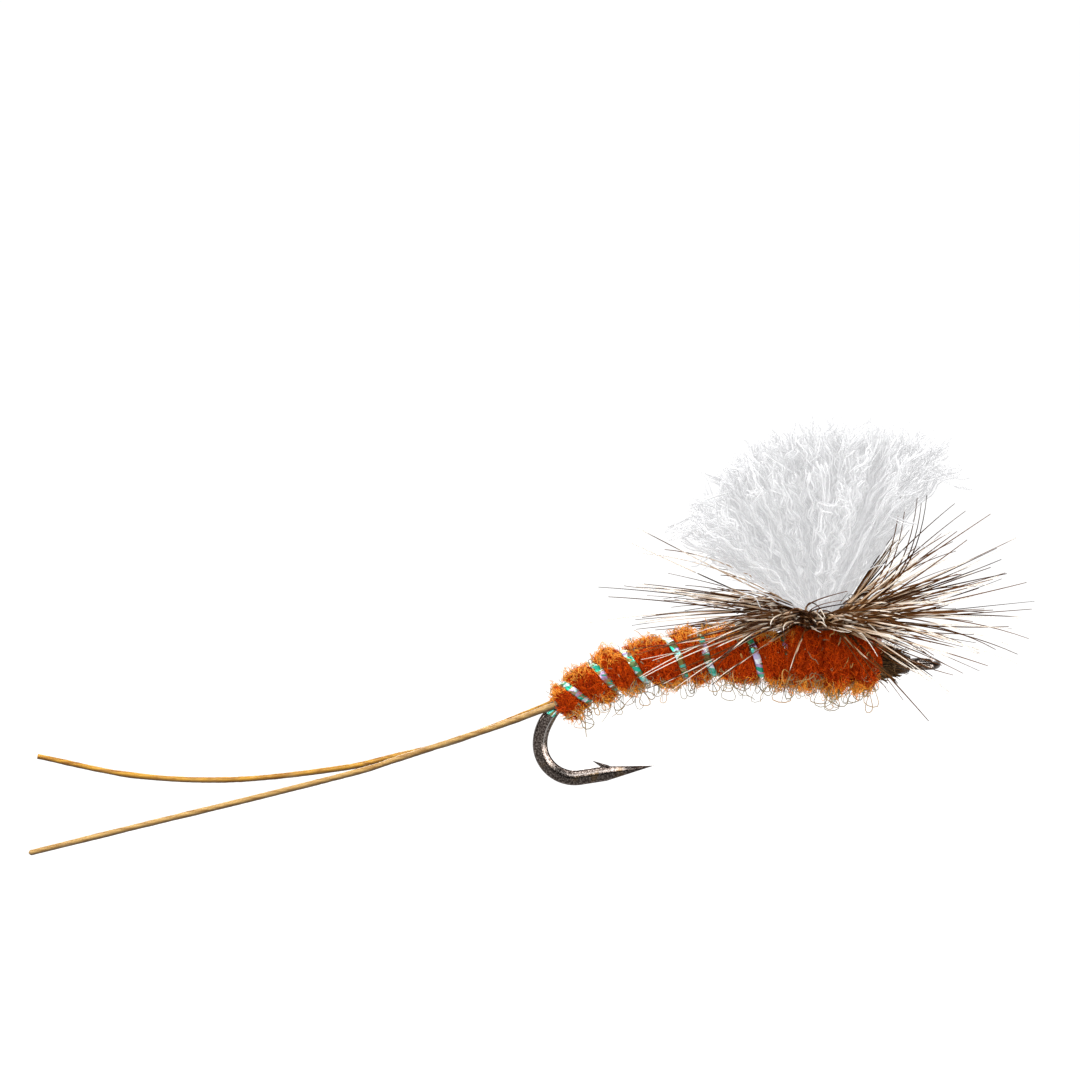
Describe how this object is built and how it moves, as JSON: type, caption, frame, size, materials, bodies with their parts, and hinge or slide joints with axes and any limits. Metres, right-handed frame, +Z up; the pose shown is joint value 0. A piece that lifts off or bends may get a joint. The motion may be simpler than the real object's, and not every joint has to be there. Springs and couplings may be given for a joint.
{
  "type": "fishing fly",
  "caption": "Parachute dry fly on a barbed curved-shank hook, with a ribbed dubbed body, an upright yarn wing post, a flat-wound barred hackle and long splayed quill tails.",
  "frame": {"origin": "the middle of the hook wire at the bottom of the bend, where a tying vise grips it", "axes": "+X from the bend towards the hook's eye, +Z up from the bend towards the shank and wing, +Y across the hook so that the frame is right-handed"},
  "size_m": [0.0445, 0.0188, 0.0182],
  "materials": {
    "hook_steel": "polished, dark black-nickel plating",
    "thread": "waxed tying thread",
    "quill_gold": "satin, translucent amber quill",
    "quill_tan": "satin, translucent tan quill",
    "rust_dubbing": "spun fur dubbing, matt and fuzzy",
    "pearl_tinsel": "pearlescent, shifting between green, blue and gold",
    "white_yarn": "crimped white poly yarn",
    "barred_hackle": "glossy feather barbs barred in cream and dark brown",
    "brown_dubbing": "matt fuzzy fur"
  },
  "bodies": {
    "root": {"hook": "hook_steel", "thread_base": "thread", "tail_quill_far": "quill_gold", "tail_quill_near": "quill_tan", "tail_lashing": "thread", "abdomen_dubbing": "rust_dubbing", "rib_tinsel": "pearl_tinsel", "post_anchor_rear": "thread", "post_anchor_front": "thread", "thorax_dubbing_rear": "rust_dubbing", "thorax_dubbing_front": "rust_dubbing", "wing_lock_1": "white_yarn", "wing_lock_2": "white_yarn", "wing_lock_3": "white_yarn", "wing_lock_4": "white_yarn", "wing_lock_5": "white_yarn", "wing_lock_6": "white_yarn", "wing_lock_7": "white_yarn", "post_thread_wraps": "thread", "hackle_feather": "barred_hackle", "head_dubbing": "brown_dubbing", "thread_head": "thread"}
  },
  "joints": []
}
